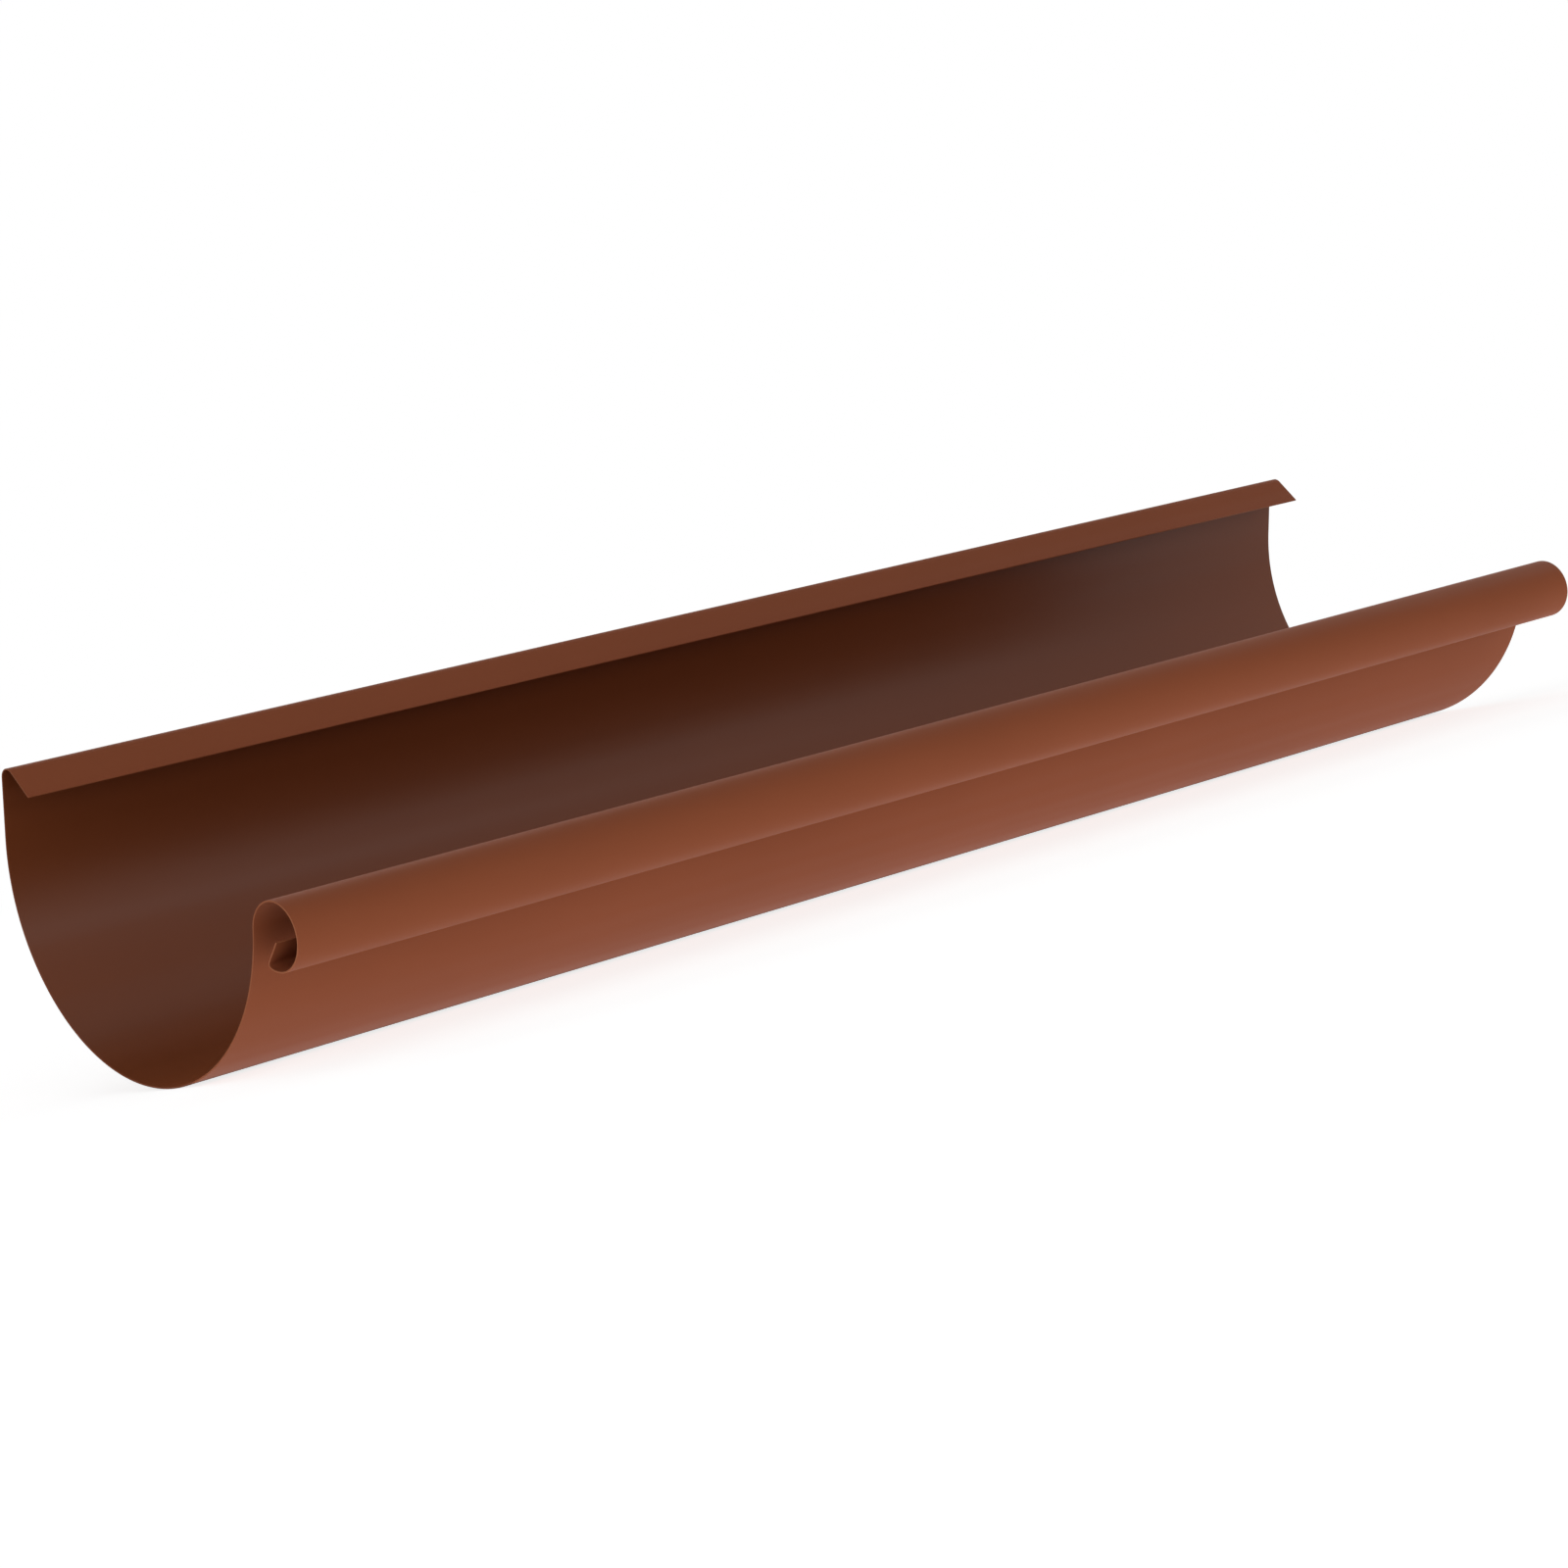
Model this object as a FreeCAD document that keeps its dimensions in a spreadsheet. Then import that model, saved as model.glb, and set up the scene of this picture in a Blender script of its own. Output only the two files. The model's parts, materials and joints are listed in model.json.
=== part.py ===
import FreeCAD, Part
import math
import os

import Sketcher
from FreeCAD import Placement, Rotation, Vector

# Half-round gutter section: one cut length of colour-coated sheet, roll-formed into a trough with a
# hollow bead along its front and a folded lip along its rear wall.
#
# Frame: +X runs along the gutter, +Y points to the wall of the building and -Y to the bead, +Z is up.
# The section lies unheld on a level floor.  Its bead is the heavy side, so it comes to rest rolled
# towards the bead, and the origin is on the floor at the middle of its bounding box.
#
# Lengths are in millimetres and turns in degrees.  A bend's radius is the one on its inside.

NODE = "gutter_section"

SIZES = {
    "gutter_length": 600.0,       # cut length
    "nominal_width": 125.0,       # width of the trough, at the middle of the sheet
    "sheet_thickness": 0.5,
    "rear_rise": 19.3,            # straight rear wall, above the level of the trough's axis
    "lip_bend_radius": 2.9,
    "lip_turn": 125.0,            # past square, so that the lip slopes down into the trough
    "lip_length": 10.7,           # flat of the lip, from its bend to its edge
    "bead_diameter": 21.2,        # outside
    "bead_turn": 284.0,           # how far the bead curls before it folds back
    "return_bend_radius": 1.0,
    "return_turn": 105.0,         # the fold that sends the sheet's edge up inside the bead
    "return_length": 7.5,         # flat of the return, from its bend to its edge
}

# Point numbers that a sketch gives to the start, the end and the centre of a line or an arc.
START = 1
END = 2
CENTRE = 3

# Numbers that a sketch gives to its own horizontal axis and, with START, to its origin.
HORIZONTAL_AXIS = -1


def make_sheet(doc):
    """Put the driving dimensions into a spreadsheet, each under its own name."""
    sheet = doc.addObject("Spreadsheet::Sheet", "Sizes")
    for row, (name, value) in enumerate(SIZES.items(), start=1):
        sheet.set(f"A{row}", name)
        sheet.set(f"B{row}", str(value))
        sheet.setAlias(f"B{row}", name)
    doc.recompute()
    return sheet


def polar(centre, radius, angle):
    """The point at this radius and angle, in degrees, about a centre."""
    turn = math.radians(angle)
    return centre + Vector(radius * math.cos(turn), radius * math.sin(turn), 0)


def arc(centre, radius, first, last):
    """An arc that runs anticlockwise from one angle to another, in degrees."""
    circle = Part.Circle(centre, Vector(0, 0, 1), radius)
    return Part.ArcOfCircle(circle, math.radians(first), math.radians(last))


def face_geometry(sheet, depth):
    """One face of the sheet in cross-section, from the lip's edge to the return's edge.

    A depth of zero gives the side that the water runs on, which is also the outside of the bead, and
    the sheet's thickness gives its back.  In the sketch, x is towards the wall and y is up.
    """
    water_radius = (sheet.nominal_width - sheet.sheet_thickness) / 2
    bead_radius = sheet.bead_diameter / 2
    return_radius = sheet.return_bend_radius + sheet.sheet_thickness

    axis = Vector(0, 0, 0)
    lip_centre = Vector(water_radius - sheet.lip_bend_radius, sheet.rear_rise, 0)
    bead_centre = Vector(-water_radius - bead_radius, 0, 0)
    return_centre = polar(bead_centre, bead_radius - return_radius, sheet.bead_turn)
    folded = sheet.bead_turn + sheet.return_turn

    lip_inner = polar(lip_centre, sheet.lip_bend_radius + depth, sheet.lip_turn)
    lip_edge = polar(lip_inner, sheet.lip_length, sheet.lip_turn + 90)
    wall_top = lip_centre + Vector(sheet.lip_bend_radius + depth, 0, 0)
    wall_foot = Vector(water_radius + depth, 0, 0)
    return_root = polar(return_centre, return_radius - depth, folded)
    return_edge = polar(return_root, sheet.return_length, folded + 90)

    return {
        "lip": Part.LineSegment(lip_edge, lip_inner),
        "lip_bend": arc(lip_centre, sheet.lip_bend_radius + depth, 0, sheet.lip_turn),
        "wall": Part.LineSegment(wall_top, wall_foot),
        "trough": arc(axis, water_radius + depth, 180, 360),
        "bead": arc(bead_centre, bead_radius - depth, 0, sheet.bead_turn),
        "return_bend": arc(return_centre, return_radius - depth, sheet.bead_turn, folded),
        "return": Part.LineSegment(return_root, return_edge),
    }


# Where each stretch of the sheet runs smoothly on into the next.
SMOOTH_JOINTS = [
    ("lip", END, "lip_bend", END),
    ("lip_bend", START, "wall", START),
    ("wall", END, "trough", END),
    ("trough", START, "bead", START),
    ("bead", END, "return_bend", START),
    ("return_bend", END, "return", START),
]


def draw_face(sketch, sheet, depth):
    """Draw one face of the sheet as a smooth chain, and give the sketch's number for each stretch."""
    face = {}
    for name, shape in face_geometry(sheet, depth).items():
        face[name] = sketch.addGeometry(shape, False)
    for first, first_point, second, second_point in SMOOTH_JOINTS:
        joint = (face[first], first_point, face[second], second_point)
        sketch.addConstraint(Sketcher.Constraint("Tangent", *joint))
    sketch.addConstraint(Sketcher.Constraint("Vertical", face["wall"]))
    return face


def close_edge(sketch, water, water_point, back, back_point):
    """Cut the sheet off square between the free ends of its two faces."""
    ends = []
    for line, point in ((water, water_point), (back, back_point)):
        ends.append(sketch.getPoint(line, point))
    edge = sketch.addGeometry(Part.LineSegment(*ends), False)
    sketch.addConstraint([
        Sketcher.Constraint("Coincident", edge, START, water, water_point),
        Sketcher.Constraint("Coincident", edge, END, back, back_point),
        Sketcher.Constraint("Parallel", water, back),
        Sketcher.Constraint("Perpendicular", edge, water),
    ])
    return edge


def dimension(sketch, name, kind, element, value, formula):
    """Add a named dimension to the sketch and bind it to the spreadsheet."""
    index = sketch.addConstraint(Sketcher.Constraint(kind, element, value))
    sketch.renameConstraint(index, name)
    sketch.setExpression(f"Constraints.{name}", formula)


def draw_section(body, sheet):
    """Sketch the cross-section, with the trough's axis at the sketch's origin."""
    sketch = body.newObject("Sketcher::SketchObject", "Section")
    planes = {feature.Role: feature for feature in body.Origin.OriginFeatures}
    sketch.AttachmentSupport = [(planes["YZ_Plane"], "")]
    sketch.MapMode = "FlatFace"

    water = draw_face(sketch, sheet, 0)
    back = draw_face(sketch, sheet, sheet.sheet_thickness)
    for face in (water, back):
        on_axis = (face["trough"], CENTRE, HORIZONTAL_AXIS, START)
        sketch.addConstraint(Sketcher.Constraint("Coincident", *on_axis))
    for bend in ("lip_bend", "bead", "return_bend"):
        centres = (water[bend], CENTRE, back[bend], CENTRE)
        sketch.addConstraint(Sketcher.Constraint("Coincident", *centres))
    lip_edge = close_edge(sketch, water["lip"], START, back["lip"], START)
    close_edge(sketch, water["return"], END, back["return"], END)

    # The trough is an exact half round: its front ends level with its axis.
    level = (water["trough"], START, HORIZONTAL_AXIS)
    sketch.addConstraint(Sketcher.Constraint("PointOnObject", *level))

    for name, kind, element, formula in (
        ("water_radius", "Radius", water["trough"],
         "(Sizes.nominal_width - Sizes.sheet_thickness) / 2"),
        ("thickness", "Distance", lip_edge, "Sizes.sheet_thickness"),
        ("wall_rise", "Distance", water["wall"], "Sizes.rear_rise"),
        ("lip_inside", "Radius", water["lip_bend"], "Sizes.lip_bend_radius"),
        ("lip_fold", "Angle", water["lip_bend"], "Sizes.lip_turn"),
        ("lip_flat", "Distance", water["lip"], "Sizes.lip_length"),
        ("bead_outside", "Radius", water["bead"], "Sizes.bead_diameter / 2"),
        ("bead_curl", "Angle", water["bead"], "Sizes.bead_turn"),
        ("return_outside", "Radius", water["return_bend"],
         "Sizes.return_bend_radius + Sizes.sheet_thickness"),
        ("return_fold", "Angle", water["return_bend"], "Sizes.return_turn"),
        ("return_flat", "Distance", water["return"], "Sizes.return_length"),
    ):
        dimension(sketch, name, kind, element, measured(sketch, kind, element), formula)
    return sketch


def measured(sketch, kind, element):
    """The size that a drawn line or arc already has, for a dimension to start from."""
    shape = sketch.Geometry[element]
    if kind == "Radius":
        return shape.Radius
    if kind == "Angle":
        return shape.LastParameter - shape.FirstParameter
    return shape.length()


def make_gutter(doc, sheet):
    """Extrude the cross-section both ways from the middle of the gutter's length."""
    body = doc.addObject("PartDesign::Body", "Gutter")
    body.Label = NODE
    sketch = draw_section(body, sheet)
    pad = body.newObject("PartDesign::Pad", "Length")
    pad.Profile = sketch
    pad.SideType = "Symmetric"
    pad.setExpression("Length", "Sizes.gutter_length")
    doc.recompute()
    return body


def lay_down(body):
    """Roll the section until its weight is under the trough's axis, and stand it on the floor."""
    weight = body.Shape.Solids[0].CenterOfMass
    roll = math.degrees(math.atan2(-weight.y, -weight.z))
    body.Placement = Placement(Vector(0, 0, 0), Rotation(Vector(1, 0, 0), roll))
    box = body.Shape.optimalBoundingBox(False)
    to_floor = Vector(-box.Center.x, -box.Center.y, -box.ZMin)
    body.Placement = Placement(to_floor, body.Placement.Rotation)


def check(doc, body):
    """Stop if any object of the document failed or the solid isn't sound."""
    for item in doc.Objects:
        if "Invalid" in item.State or "Error" in item.State:
            raise RuntimeError(f"{item.Label} failed: {item.State}")
    if body.Shape.isNull() or not body.Shape.isValid():
        raise RuntimeError(f"{body.Label} has no valid shape")
    if len(body.Shape.Solids) != 1:
        raise RuntimeError(f"{body.Label} is not one solid")


def main():
    doc = FreeCAD.newDocument("GutterSection")
    sheet = make_sheet(doc)
    body = make_gutter(doc, sheet)
    check(doc, body)
    lay_down(body)
    doc.recompute()
    check(doc, body)
    os.makedirs("parts", exist_ok=True)
    body.Shape.exportStep(f"parts/{body.Label}.step")


main()
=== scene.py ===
import json
import math

import bpy
from mathutils import Matrix, Vector


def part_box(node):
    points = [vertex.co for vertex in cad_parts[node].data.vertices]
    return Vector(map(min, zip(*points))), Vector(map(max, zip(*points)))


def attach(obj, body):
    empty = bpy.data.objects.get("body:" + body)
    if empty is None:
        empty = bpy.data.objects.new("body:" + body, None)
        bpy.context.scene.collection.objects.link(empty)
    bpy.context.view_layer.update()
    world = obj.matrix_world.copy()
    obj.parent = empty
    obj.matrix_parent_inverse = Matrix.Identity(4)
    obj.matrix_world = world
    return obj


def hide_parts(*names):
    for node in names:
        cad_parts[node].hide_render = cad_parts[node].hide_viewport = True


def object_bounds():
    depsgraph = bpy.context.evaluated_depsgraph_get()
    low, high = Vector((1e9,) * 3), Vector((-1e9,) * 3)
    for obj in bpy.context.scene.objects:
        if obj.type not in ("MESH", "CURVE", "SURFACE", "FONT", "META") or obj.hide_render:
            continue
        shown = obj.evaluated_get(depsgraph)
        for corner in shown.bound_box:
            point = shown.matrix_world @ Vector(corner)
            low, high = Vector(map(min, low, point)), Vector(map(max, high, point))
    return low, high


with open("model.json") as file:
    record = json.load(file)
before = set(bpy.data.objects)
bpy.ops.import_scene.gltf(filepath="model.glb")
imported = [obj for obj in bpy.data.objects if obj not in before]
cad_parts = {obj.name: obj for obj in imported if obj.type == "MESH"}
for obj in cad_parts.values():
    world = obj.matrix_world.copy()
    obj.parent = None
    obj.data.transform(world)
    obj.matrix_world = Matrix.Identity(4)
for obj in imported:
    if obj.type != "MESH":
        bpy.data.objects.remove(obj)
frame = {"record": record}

CAD_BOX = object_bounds()

NODE = "gutter_section"
BODY = "root"
MM = 0.001

# ---------------------------------------------------------------------------------------------------
# The sheet's path in cross-section, walked from the lip's edge to the return's edge.  Lengths are in
# metres and turns in degrees; a turn is positive when the walk turns left.  Every bend's radius is the
# one at the middle of the sheet.
# ---------------------------------------------------------------------------------------------------

SHEET = 0.5 * MM
TROUGH_RADIUS = 62.5 * MM
BEAD_RADIUS = 10.35 * MM
LIP_BEND_RADIUS = 3.15 * MM
RETURN_BEND_RADIUS = 1.25 * MM
REAR_RISE = 19.3 * MM
LIP_LENGTH = 10.7 * MM
RETURN_LENGTH = 7.5 * MM
LIP_TURN = 125
HALF_ROUND = 180
BEAD_TURN = 284
RETURN_TURN = 105

# Each stretch: its length, or its radius and turn, and how many mesh steps it takes.
LIP = ("flat", LIP_LENGTH, 0, 6)
LIP_BEND = ("bend", LIP_BEND_RADIUS, -LIP_TURN, 24)
REAR_WALL = ("flat", REAR_RISE, 0, 10)
TROUGH = ("bend", TROUGH_RADIUS, -HALF_ROUND, 120)
BEAD = ("bend", BEAD_RADIUS, BEAD_TURN, 96)
RETURN_BEND = ("bend", RETURN_BEND_RADIUS, RETURN_TURN, 20)
RETURN = ("flat", RETURN_LENGTH, 0, 4)
STRETCHES = (LIP, LIP_BEND, REAR_WALL, TROUGH, BEAD, RETURN_BEND, RETURN)
INSIDE = (LIP, LIP_BEND, REAR_WALL, TROUGH)      # the stretches whose inner face looks at the water

OUTSIDE_COAT, CUT_COAT, INSIDE_COAT = range(3)   # the mesh's material slots

LENGTH_STEPS = 48
EDGE_ROUNDING = 0.07 * MM
EDGE_SEGMENTS = 2
EDGE_ANGLE = math.radians(60)


def direction(heading):
    """Unit vector in the cross-section's plane; a heading of 0 points to the wall, 90 points up."""
    turn = math.radians(heading)
    return Vector((math.cos(turn), math.sin(turn)))


def walk_sheet():
    """Stations along the middle of the sheet, as (place, heading), from the trough's axis."""
    heading = LIP_TURN - 90.0
    place = Vector((0.0, 0.0))
    stations = [(place, heading)]
    axis = None
    for stretch in STRETCHES:
        kind, size, turn, steps = stretch
        start, first = place, heading
        if kind == "bend":
            side = math.copysign(90, turn)
            centre = start + size * direction(first + side)
            if stretch is TROUGH:
                axis = centre
        for step in range(1, steps + 1):
            if kind == "bend":
                heading = first + turn * step / steps
                place = centre - size * direction(heading + side)
            else:
                place = start + size * step / steps * direction(heading)
            stations.append((place, heading))
    return [(place - axis, heading) for place, heading in stations]


def mount(name):
    """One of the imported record's mounts."""
    return next(m for m in frame["record"]["mounts"] if m["name"] == name)


def level_to_rest():
    """The matrix from the gutter as it hangs level, about the trough's axis, to where it lies."""
    outward = mount("rear_wall")["axis"]
    roll = math.atan2(outward[2], outward[1])
    seat = mount("bracket_seat")
    to_axis = -seat["dims"]["r_mm"] * MM * Vector(seat["axis"])
    axis = Vector(seat["pos_m"]) + to_axis
    return Matrix.Translation(axis) @ Matrix.Rotation(roll, 4, "X")


def cross_section():
    """The sheet's closed outline: the face the water runs on, then the back of it, walked home again.

    The second list gives the coat on each side of the outline, from its own point to the next.
    """
    water, back = [], []
    for place, heading in walk_sheet():
        across = direction(heading + 90) * SHEET / 2
        water.append(place - across)
        back.append(place + across)
    outline = water + back[::-1]

    wet_steps = sum(steps for kind, size, turn, steps in INSIDE)
    coats = [OUTSIDE_COAT] * len(outline)
    coats[:wet_steps] = [INSIDE_COAT] * wet_steps
    coats[len(water) - 1] = CUT_COAT
    coats[-1] = CUT_COAT
    return outline, coats


def make_gutter(at_rest):
    """The whole section as one mesh: both faces of the sheet, its two long edges and its two ends."""
    outline, coats = cross_section()
    count = len(outline)
    low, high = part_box(NODE)
    length = high.x - low.x

    verts = []
    for step in range(LENGTH_STEPS + 1):
        x = low.x + length * step / LENGTH_STEPS
        verts.extend(at_rest @ Vector((x, y, z)) for y, z in outline)

    faces, face_coats = [], []
    for step in range(LENGTH_STEPS):
        here, there = step * count, (step + 1) * count
        for i in range(count):
            j = (i + 1) % count
            faces.append((here + i, there + i, there + j, here + j))
        face_coats.extend(coats)
    last = LENGTH_STEPS * count
    for i in range(count // 2 - 1):
        j = count - 1 - i
        faces.append((i, i + 1, j - 1, j))
        faces.append((last + j, last + j - 1, last + i + 1, last + i))
        face_coats.extend((CUT_COAT, CUT_COAT))

    mesh = bpy.data.meshes.new("gutter_sheet")
    mesh.from_pydata([tuple(v) for v in verts], [], faces)
    mesh.update()
    for polygon, coat in zip(mesh.polygons, face_coats):
        polygon.material_index = coat
        polygon.use_smooth = True
    piece = bpy.data.objects.new("gutter_sheet", mesh)
    bpy.context.scene.collection.objects.link(piece)
    round_edges(piece)
    return piece


def round_edges(piece):
    """Take the sharpness off the cut edges; the bends are too smooth for the angle limit."""
    rounding = piece.modifiers.new("edge_rounding", "BEVEL")
    rounding.width = EDGE_ROUNDING
    rounding.segments = EDGE_SEGMENTS
    rounding.limit_method = "ANGLE"
    rounding.angle_limit = EDGE_ANGLE
    rounding.harden_normals = True
    # The rounding takes the cut coat, whose paler colour is a painted highlight on the rims.
    rounding.material = CUT_COAT


# ---------------------------------------------------------------------------------------------------
# Materials
# ---------------------------------------------------------------------------------------------------

# The outside coat; the glossier one on the water side, whose darker colour is painted shade for the
# trough's shaded inside; and the cut edges, painted paler as a painted highlight along their rims.
# A coat's colour drifts between its light and its dark value; colours are linear RGB.
PAINT = (0.298, 0.0832, 0.0352)
PAINT_DARK = (0.282, 0.0783, 0.0328)
INSIDE_PAINT_SHADED = (0.196, 0.0495, 0.0148)
INSIDE_DARK_SHADED = (0.186, 0.0468, 0.0139)
EDGE_PAINT_HIGHLIT = (0.41, 0.136, 0.062)
PAINT_ROUGHNESS = 0.54
INSIDE_ROUGHNESS = 0.36
EDGE_ROUGHNESS = 0.45
ROUGHNESS_SPREAD = 0.03          # how far the forming lines move it, either way
PAINT_SPECULAR = 0.06
INSIDE_SPECULAR = 0.22

# The paint's patterns, in features a metre, and the height of their relief.
MOTTLE = 14
GRAIN = 1500
ORANGE_PEEL = 330
FORMING_LINES = 160
LINE_STRETCH = (0.012, 1, 1)     # the lines are drawn out along the gutter
GRAIN_DEPTH = 0.003 * MM
PEEL_DEPTH = 0.004 * MM
LINE_DEPTH = 0.001 * MM
NOISE_LOW = 0.3                  # most of a noise lies between these two
NOISE_HIGH = 0.7


def link(tree, out_node, out_name, in_node, in_name):
    tree.links.new(out_node.outputs[out_name], in_node.inputs[in_name])


def add_noise(tree, coords, scale, detail, stretch=(1, 1, 1)):
    """A noise texture in the object's own metres, with `scale` features a metre."""
    mapping = tree.nodes.new("ShaderNodeMapping")
    mapping.inputs["Scale"].default_value = stretch
    link(tree, coords, "Object", mapping, "Vector")
    noise = tree.nodes.new("ShaderNodeTexNoise")
    noise.inputs["Scale"].default_value = scale
    noise.inputs["Detail"].default_value = detail
    link(tree, mapping, "Vector", noise, "Vector")
    return noise


def add_range(tree, source, low, high):
    """Spread a noise's middle range between two values."""
    spread = tree.nodes.new("ShaderNodeMapRange")
    spread.inputs["From Min"].default_value = NOISE_LOW
    spread.inputs["From Max"].default_value = NOISE_HIGH
    spread.inputs["To Min"].default_value = low
    spread.inputs["To Max"].default_value = high
    link(tree, source, "Fac", spread, "Value")
    return spread


def add_bump(tree, height, depth, below=None):
    """Relief of a real depth, in metres, laid over the relief below it."""
    bump = tree.nodes.new("ShaderNodeBump")
    bump.inputs["Strength"].default_value = 1.0
    bump.inputs["Distance"].default_value = depth
    link(tree, height, "Fac", bump, "Height")
    if below is not None:
        link(tree, below, "Normal", bump, "Normal")
    return bump


def paint_material(name, light, dark, roughness, specular):
    """Coil-coated paint: a slow mottle, fine grain, orange peel and lines along the rolls' travel."""
    material = bpy.data.materials.new(name)
    material.use_nodes = True
    tree = material.node_tree
    shader = tree.nodes["Principled BSDF"]
    coords = tree.nodes.new("ShaderNodeTexCoord")

    mottle = add_noise(tree, coords, MOTTLE, detail=3)
    grain = add_noise(tree, coords, GRAIN, detail=2)
    peel = add_noise(tree, coords, ORANGE_PEEL, detail=2)
    lines = add_noise(tree, coords, FORMING_LINES, detail=0, stretch=LINE_STRETCH)

    colour = tree.nodes.new("ShaderNodeMix")
    colour.data_type = "RGBA"
    colour.inputs["A"].default_value = (*dark, 1)
    colour.inputs["B"].default_value = (*light, 1)
    link(tree, add_range(tree, mottle, 0, 1), "Result", colour, "Factor")
    link(tree, colour, "Result", shader, "Base Color")

    gloss = add_range(tree, lines, roughness - ROUGHNESS_SPREAD, roughness + ROUGHNESS_SPREAD)
    link(tree, gloss, "Result", shader, "Roughness")

    relief = add_bump(tree, lines, LINE_DEPTH)
    relief = add_bump(tree, peel, PEEL_DEPTH, relief)
    relief = add_bump(tree, grain, GRAIN_DEPTH, relief)
    link(tree, relief, "Normal", shader, "Normal")

    shader.inputs["Specular IOR Level"].default_value = specular
    return material


# ---------------------------------------------------------------------------------------------------
# Floor, light and camera
# ---------------------------------------------------------------------------------------------------

WHITE = (1, 1, 1, 1)
FLOOR_SIZE = 12.0
FLOOR_DROP = 0.1 * MM     # how far it lies under the plane that the gutter stands on
FLOOR_COLOUR = 0.5
FLOOR_LIFT = 0.81
FLOOR_CLEAR = 0.6         # the floor shows shadows out to here from the origin
FLOOR_FADE = 1.6          # and is as white as the backdrop from here


def white_rays(tree):
    """One for the rays that see the background itself or see it in a reflection, else zero."""
    path = tree.nodes.new("ShaderNodeLightPath")
    total = (path, "Is Camera Ray")
    for ray in ("Is Glossy Ray", "Is Transmission Ray"):
        either = tree.nodes.new("ShaderNodeMath")
        either.operation = "MAXIMUM"
        link(tree, *total, either, 0)
        link(tree, path, ray, either, 1)
        total = (either, "Value")
    return total


def make_world(strength):
    """An even light of this strength, and a white backdrop for the rays that see it."""
    world = bpy.data.worlds.new("studio")
    world.use_nodes = True
    tree = world.node_tree
    tree.nodes.clear()
    light = tree.nodes.new("ShaderNodeBackground")
    light.inputs["Color"].default_value = WHITE
    light.inputs["Strength"].default_value = strength
    backdrop = tree.nodes.new("ShaderNodeBackground")
    backdrop.inputs["Color"].default_value = WHITE
    mix = tree.nodes.new("ShaderNodeMixShader")
    link(tree, *white_rays(tree), mix, "Fac")
    link(tree, light, "Background", mix, 1)
    link(tree, backdrop, "Background", mix, 2)
    output = tree.nodes.new("ShaderNodeOutputWorld")
    link(tree, mix, "Shader", output, "Surface")
    bpy.context.scene.world = world


def add_product(tree, first, second):
    """Multiply two node outputs, each given as (node, name); the second may be a plain number."""
    product = tree.nodes.new("ShaderNodeMath")
    product.operation = "MULTIPLY"
    link(tree, *first, product, 0)
    if isinstance(second, tuple):
        link(tree, *second, product, 1)
    else:
        product.inputs[1].default_value = second
    return product


def floor_fade(tree):
    """Zero near the origin, rising smoothly to one where the floor becomes as white as the backdrop."""
    coords = tree.nodes.new("ShaderNodeTexCoord")
    reach = tree.nodes.new("ShaderNodeVectorMath")
    reach.operation = "LENGTH"
    link(tree, coords, "Object", reach, "Vector")
    fade = tree.nodes.new("ShaderNodeMapRange")
    fade.interpolation_type = "SMOOTHSTEP"
    fade.inputs["From Min"].default_value = FLOOR_CLEAR
    fade.inputs["From Max"].default_value = FLOOR_FADE
    link(tree, reach, "Value", fade, "Value")
    return fade


def floor_material():
    """Matt and pale, lifted to white for the rays that see it, so that only shadows show on it."""
    material = bpy.data.materials.new("floor")
    material.use_nodes = True
    tree = material.node_tree
    tree.nodes.clear()
    matt = tree.nodes.new("ShaderNodeBsdfDiffuse")
    matt.inputs["Color"].default_value = (FLOOR_COLOUR, FLOOR_COLOUR, FLOOR_COLOUR, 1)
    lift = tree.nodes.new("ShaderNodeEmission")
    lift.inputs["Color"].default_value = WHITE
    seen = white_rays(tree)
    link(tree, add_product(tree, seen, FLOOR_LIFT), "Value", lift, "Strength")
    near = tree.nodes.new("ShaderNodeAddShader")
    link(tree, matt, "BSDF", near, 0)
    link(tree, lift, "Emission", near, 1)

    far = tree.nodes.new("ShaderNodeEmission")
    far.inputs["Color"].default_value = WHITE
    both = tree.nodes.new("ShaderNodeMixShader")
    faded = add_product(tree, (floor_fade(tree), "Result"), seen)
    link(tree, faded, "Value", both, "Fac")
    link(tree, near, "Shader", both, 1)
    link(tree, far, "Emission", both, 2)
    output = tree.nodes.new("ShaderNodeOutputMaterial")
    link(tree, both, "Shader", output, "Surface")
    return material


def make_floor():
    half = FLOOR_SIZE / 2
    corners = [(-half, -half), (half, -half), (half, half), (-half, half)]
    mesh = bpy.data.meshes.new("floor")
    mesh.from_pydata([(x, y, -FLOOR_DROP) for x, y in corners], [], [(0, 1, 2, 3)])
    mesh.materials.append(floor_material())
    floor = bpy.data.objects.new("floor", mesh)
    bpy.context.scene.collection.objects.link(floor)


def aim(thing, place, target):
    thing.location = place
    thing.rotation_mode = "QUATERNION"
    thing.rotation_quaternion = (Vector(target) - Vector(place)).to_track_quat("-Z", "Y")


def softbox(name, place, target, width, height, radiance):
    """A soft area lamp; radiance is how bright its face is, where 1 is white."""
    light = bpy.data.lights.new(name, "AREA")
    light.shape = "RECTANGLE"
    light.size, light.size_y = width, height
    light.energy = radiance * math.pi * width * height
    lamp = bpy.data.objects.new(name, light)
    bpy.context.scene.collection.objects.link(lamp)
    aim(lamp, place, target)
    return lamp


# Where the camera stands about the middle of the trough's axis, while the gutter hangs level.
CAMERA_PLACE = Vector((-957.0, -965.34, 361.2)) * MM
CAMERA_HEADING = -43.816         # degrees from +Y, as seen from above
CAMERA_PITCH = -16.094
CAMERA_ROLL = -0.3
CAMERA_LENS = 94.05              # millimetres, like the sensor's width
SENSOR = 36.0


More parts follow.
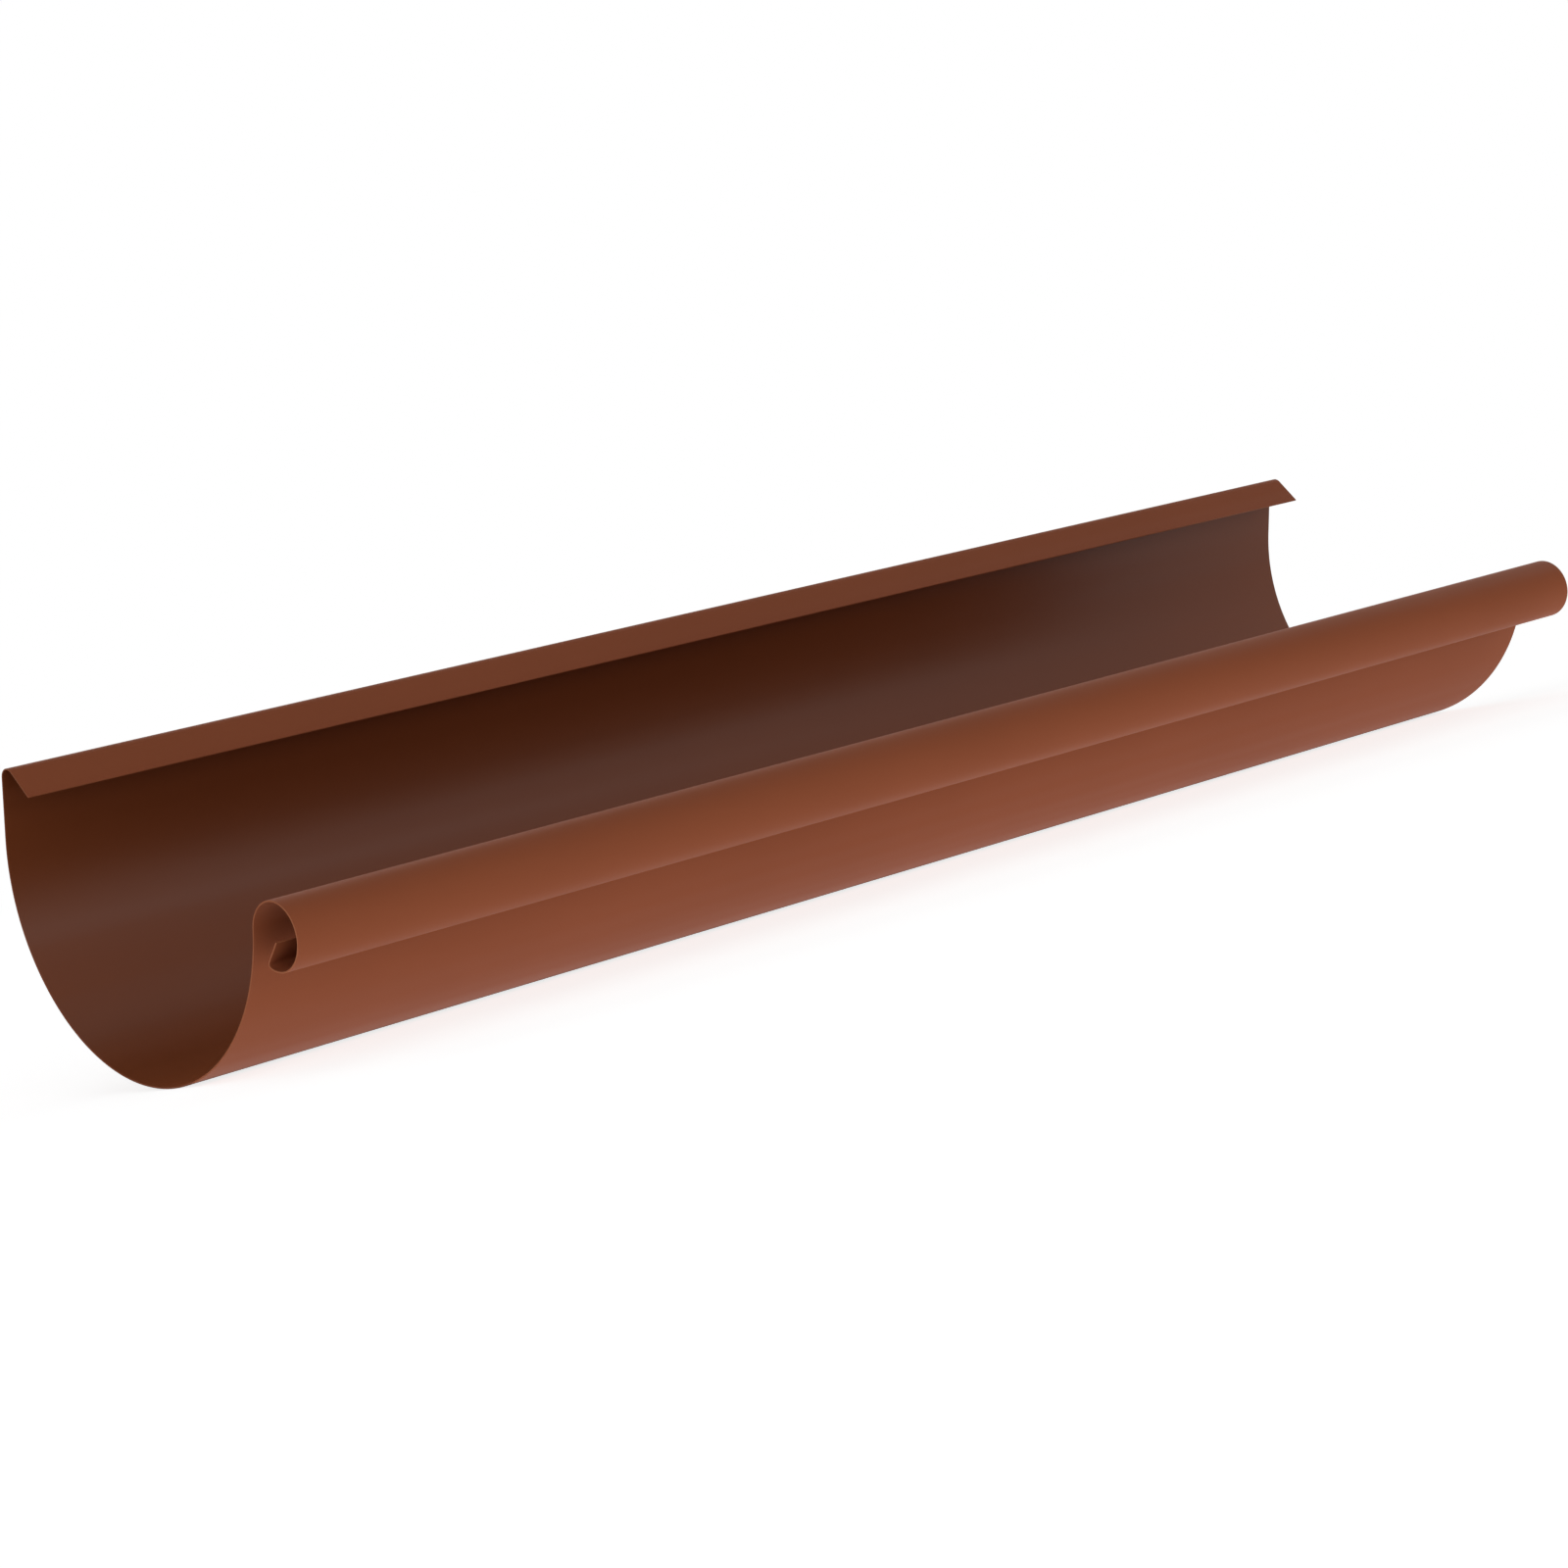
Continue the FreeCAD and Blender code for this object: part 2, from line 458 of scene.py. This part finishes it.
def make_camera(at_rest):
    camera = bpy.data.cameras.new("camera")
    camera.sensor_width = SENSOR
    camera.lens = CAMERA_LENS
    eye = bpy.data.objects.new("camera", camera)
    bpy.context.scene.collection.objects.link(eye)
    turn = Matrix.Rotation(math.radians(CAMERA_HEADING), 4, "Z")
    pitch = Matrix.Rotation(math.radians(90 + CAMERA_PITCH), 4, "X")
    roll = Matrix.Rotation(math.radians(CAMERA_ROLL), 4, "Z")
    eye.matrix_world = at_rest @ Matrix.Translation(CAMERA_PLACE) @ turn @ pitch @ roll
    bpy.context.scene.camera = eye


# Soft lamps over the floor, in metres and degrees: the direction a lamp stands in, from the front
# towards +X and up from the floor, then how far off it is, its width and height, and how bright its
# face is, where 1 is white.
WORLD_LIGHT = 0.12
SOFTBOXES = {
    "key": (-40, 40, 2.4, 1.6, 1.2, 1.12),
    "front_fill": (20, 14, 2.4, 2.4, 0.8, 1.00),
    "overhead": (0, 90, 2.0, 1.6, 1.6, 0.34),
    "right_fill": (90, 30, 2.2, 1.2, 1.2, 0.62),
    "left_fill": (-68, 12, 2.2, 1.2, 1.2, 1.60),
    "rear_fill": (180, 35, 2.4, 3.2, 1.2, 0.85),
}

# Panels of a light table, lying on the floor: their lowest and highest corners, and how bright
# they are.  They stand for the light that a white floor throws up under the gutter.
FLOOR_PANELS = {
    "table_under_bead": ((-0.4, -0.15), (0.4, -0.003), 0.67),
    "table_front": ((-0.5, -0.45), (0.5, -0.15), 0.81),
    "table_end": ((0.32, -0.3), (0.9, 0.3), 0.42),
}
PANEL_HEIGHT = 0.5 * MM


def make_lamps():
    middle = (CAD_BOX[0] + CAD_BOX[1]) / 2
    for name, (side, rise, distance, width, height, radiance) in SOFTBOXES.items():
        side, rise = math.radians(side), math.radians(rise)
        flat = Vector((math.sin(side), -math.cos(side), 0)) * math.cos(rise)
        place = middle + distance * (flat + Vector((0, 0, math.sin(rise))))
        softbox(name, place, middle, width, height, radiance)
    for name, (low, high, radiance) in FLOOR_PANELS.items():
        low, high = Vector((*low, PANEL_HEIGHT)), Vector((*high, PANEL_HEIGHT))
        place = (low + high) / 2
        size = high - low
        panel = softbox(name, place, place + Vector((0, 0, 1)), size.x, size.y, radiance)
        panel.visible_camera = False
        panel.visible_glossy = False


def main():
    at_rest = level_to_rest()
    gutter = make_gutter(at_rest)
    paint = paint_material("paint", PAINT, PAINT_DARK, PAINT_ROUGHNESS, PAINT_SPECULAR)
    # The cut coat's paler colour is a painted highlight along the cut rims.
    edge = paint_material("edge_paint_highlight", EDGE_PAINT_HIGHLIT, PAINT, EDGE_ROUGHNESS, PAINT_SPECULAR)
    # The inside coat's darker colour is painted shade for the trough's shaded inside.
    inside = paint_material("inside_paint_shaded", INSIDE_PAINT_SHADED, INSIDE_DARK_SHADED, INSIDE_ROUGHNESS, INSIDE_SPECULAR)
    for material in (paint, edge, inside):
        gutter.data.materials.append(material)
    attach(gutter, BODY)
    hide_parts(NODE)

    make_floor()
    make_world(WORLD_LIGHT)
    make_lamps()
    make_camera(at_rest)
    bpy.context.scene.view_settings.view_transform = "Standard"


main()
